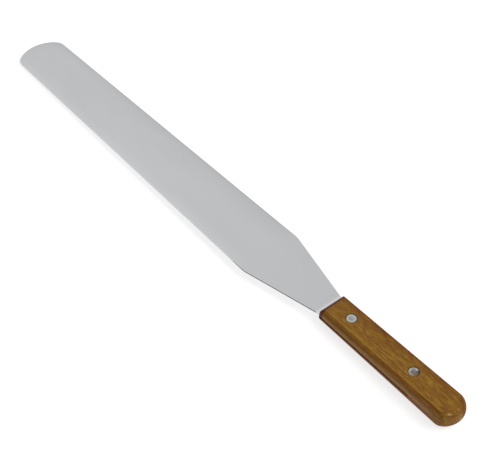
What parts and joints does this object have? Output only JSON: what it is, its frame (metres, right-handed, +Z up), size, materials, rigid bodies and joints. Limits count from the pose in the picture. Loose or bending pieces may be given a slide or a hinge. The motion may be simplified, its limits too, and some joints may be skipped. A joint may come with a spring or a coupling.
{
  "type": "icing spatula",
  "caption": "Straight icing spatula: a long, flexible, round-ended steel blade that narrows in a neck and runs into a slotted wooden handle held by riveted posts and sleeves.",
  "frame": {"origin": "on the resting surface, below the centre of the whole tool's bounding box", "axes": "+X along the tool towards the handle's butt, so that the blade's tip points to -X; +Y across the blade; +Z up from the resting surface. The handle's lower face lies on the surface and the blade slopes down 0.8 degrees towards its tip, which stays 0.8 mm above the surface."},
  "size_m": [0.4762, 0.0496, 0.0157],
  "materials": {
    "blade_steel": "satin ground stainless steel",
    "lacquered_wood": "brown hardwood under clear gloss lacquer, grain along the handle",
    "rivet_metal": "satin, with a slightly dished head"
  },
  "bodies": {
    "root": {"blade": "blade_steel", "handle": "lacquered_wood", "front_rivet_post": "rivet_metal", "front_rivet_sleeve": "rivet_metal", "rear_rivet_post": "rivet_metal", "rear_rivet_sleeve": "rivet_metal"}
  },
  "joints": []
}
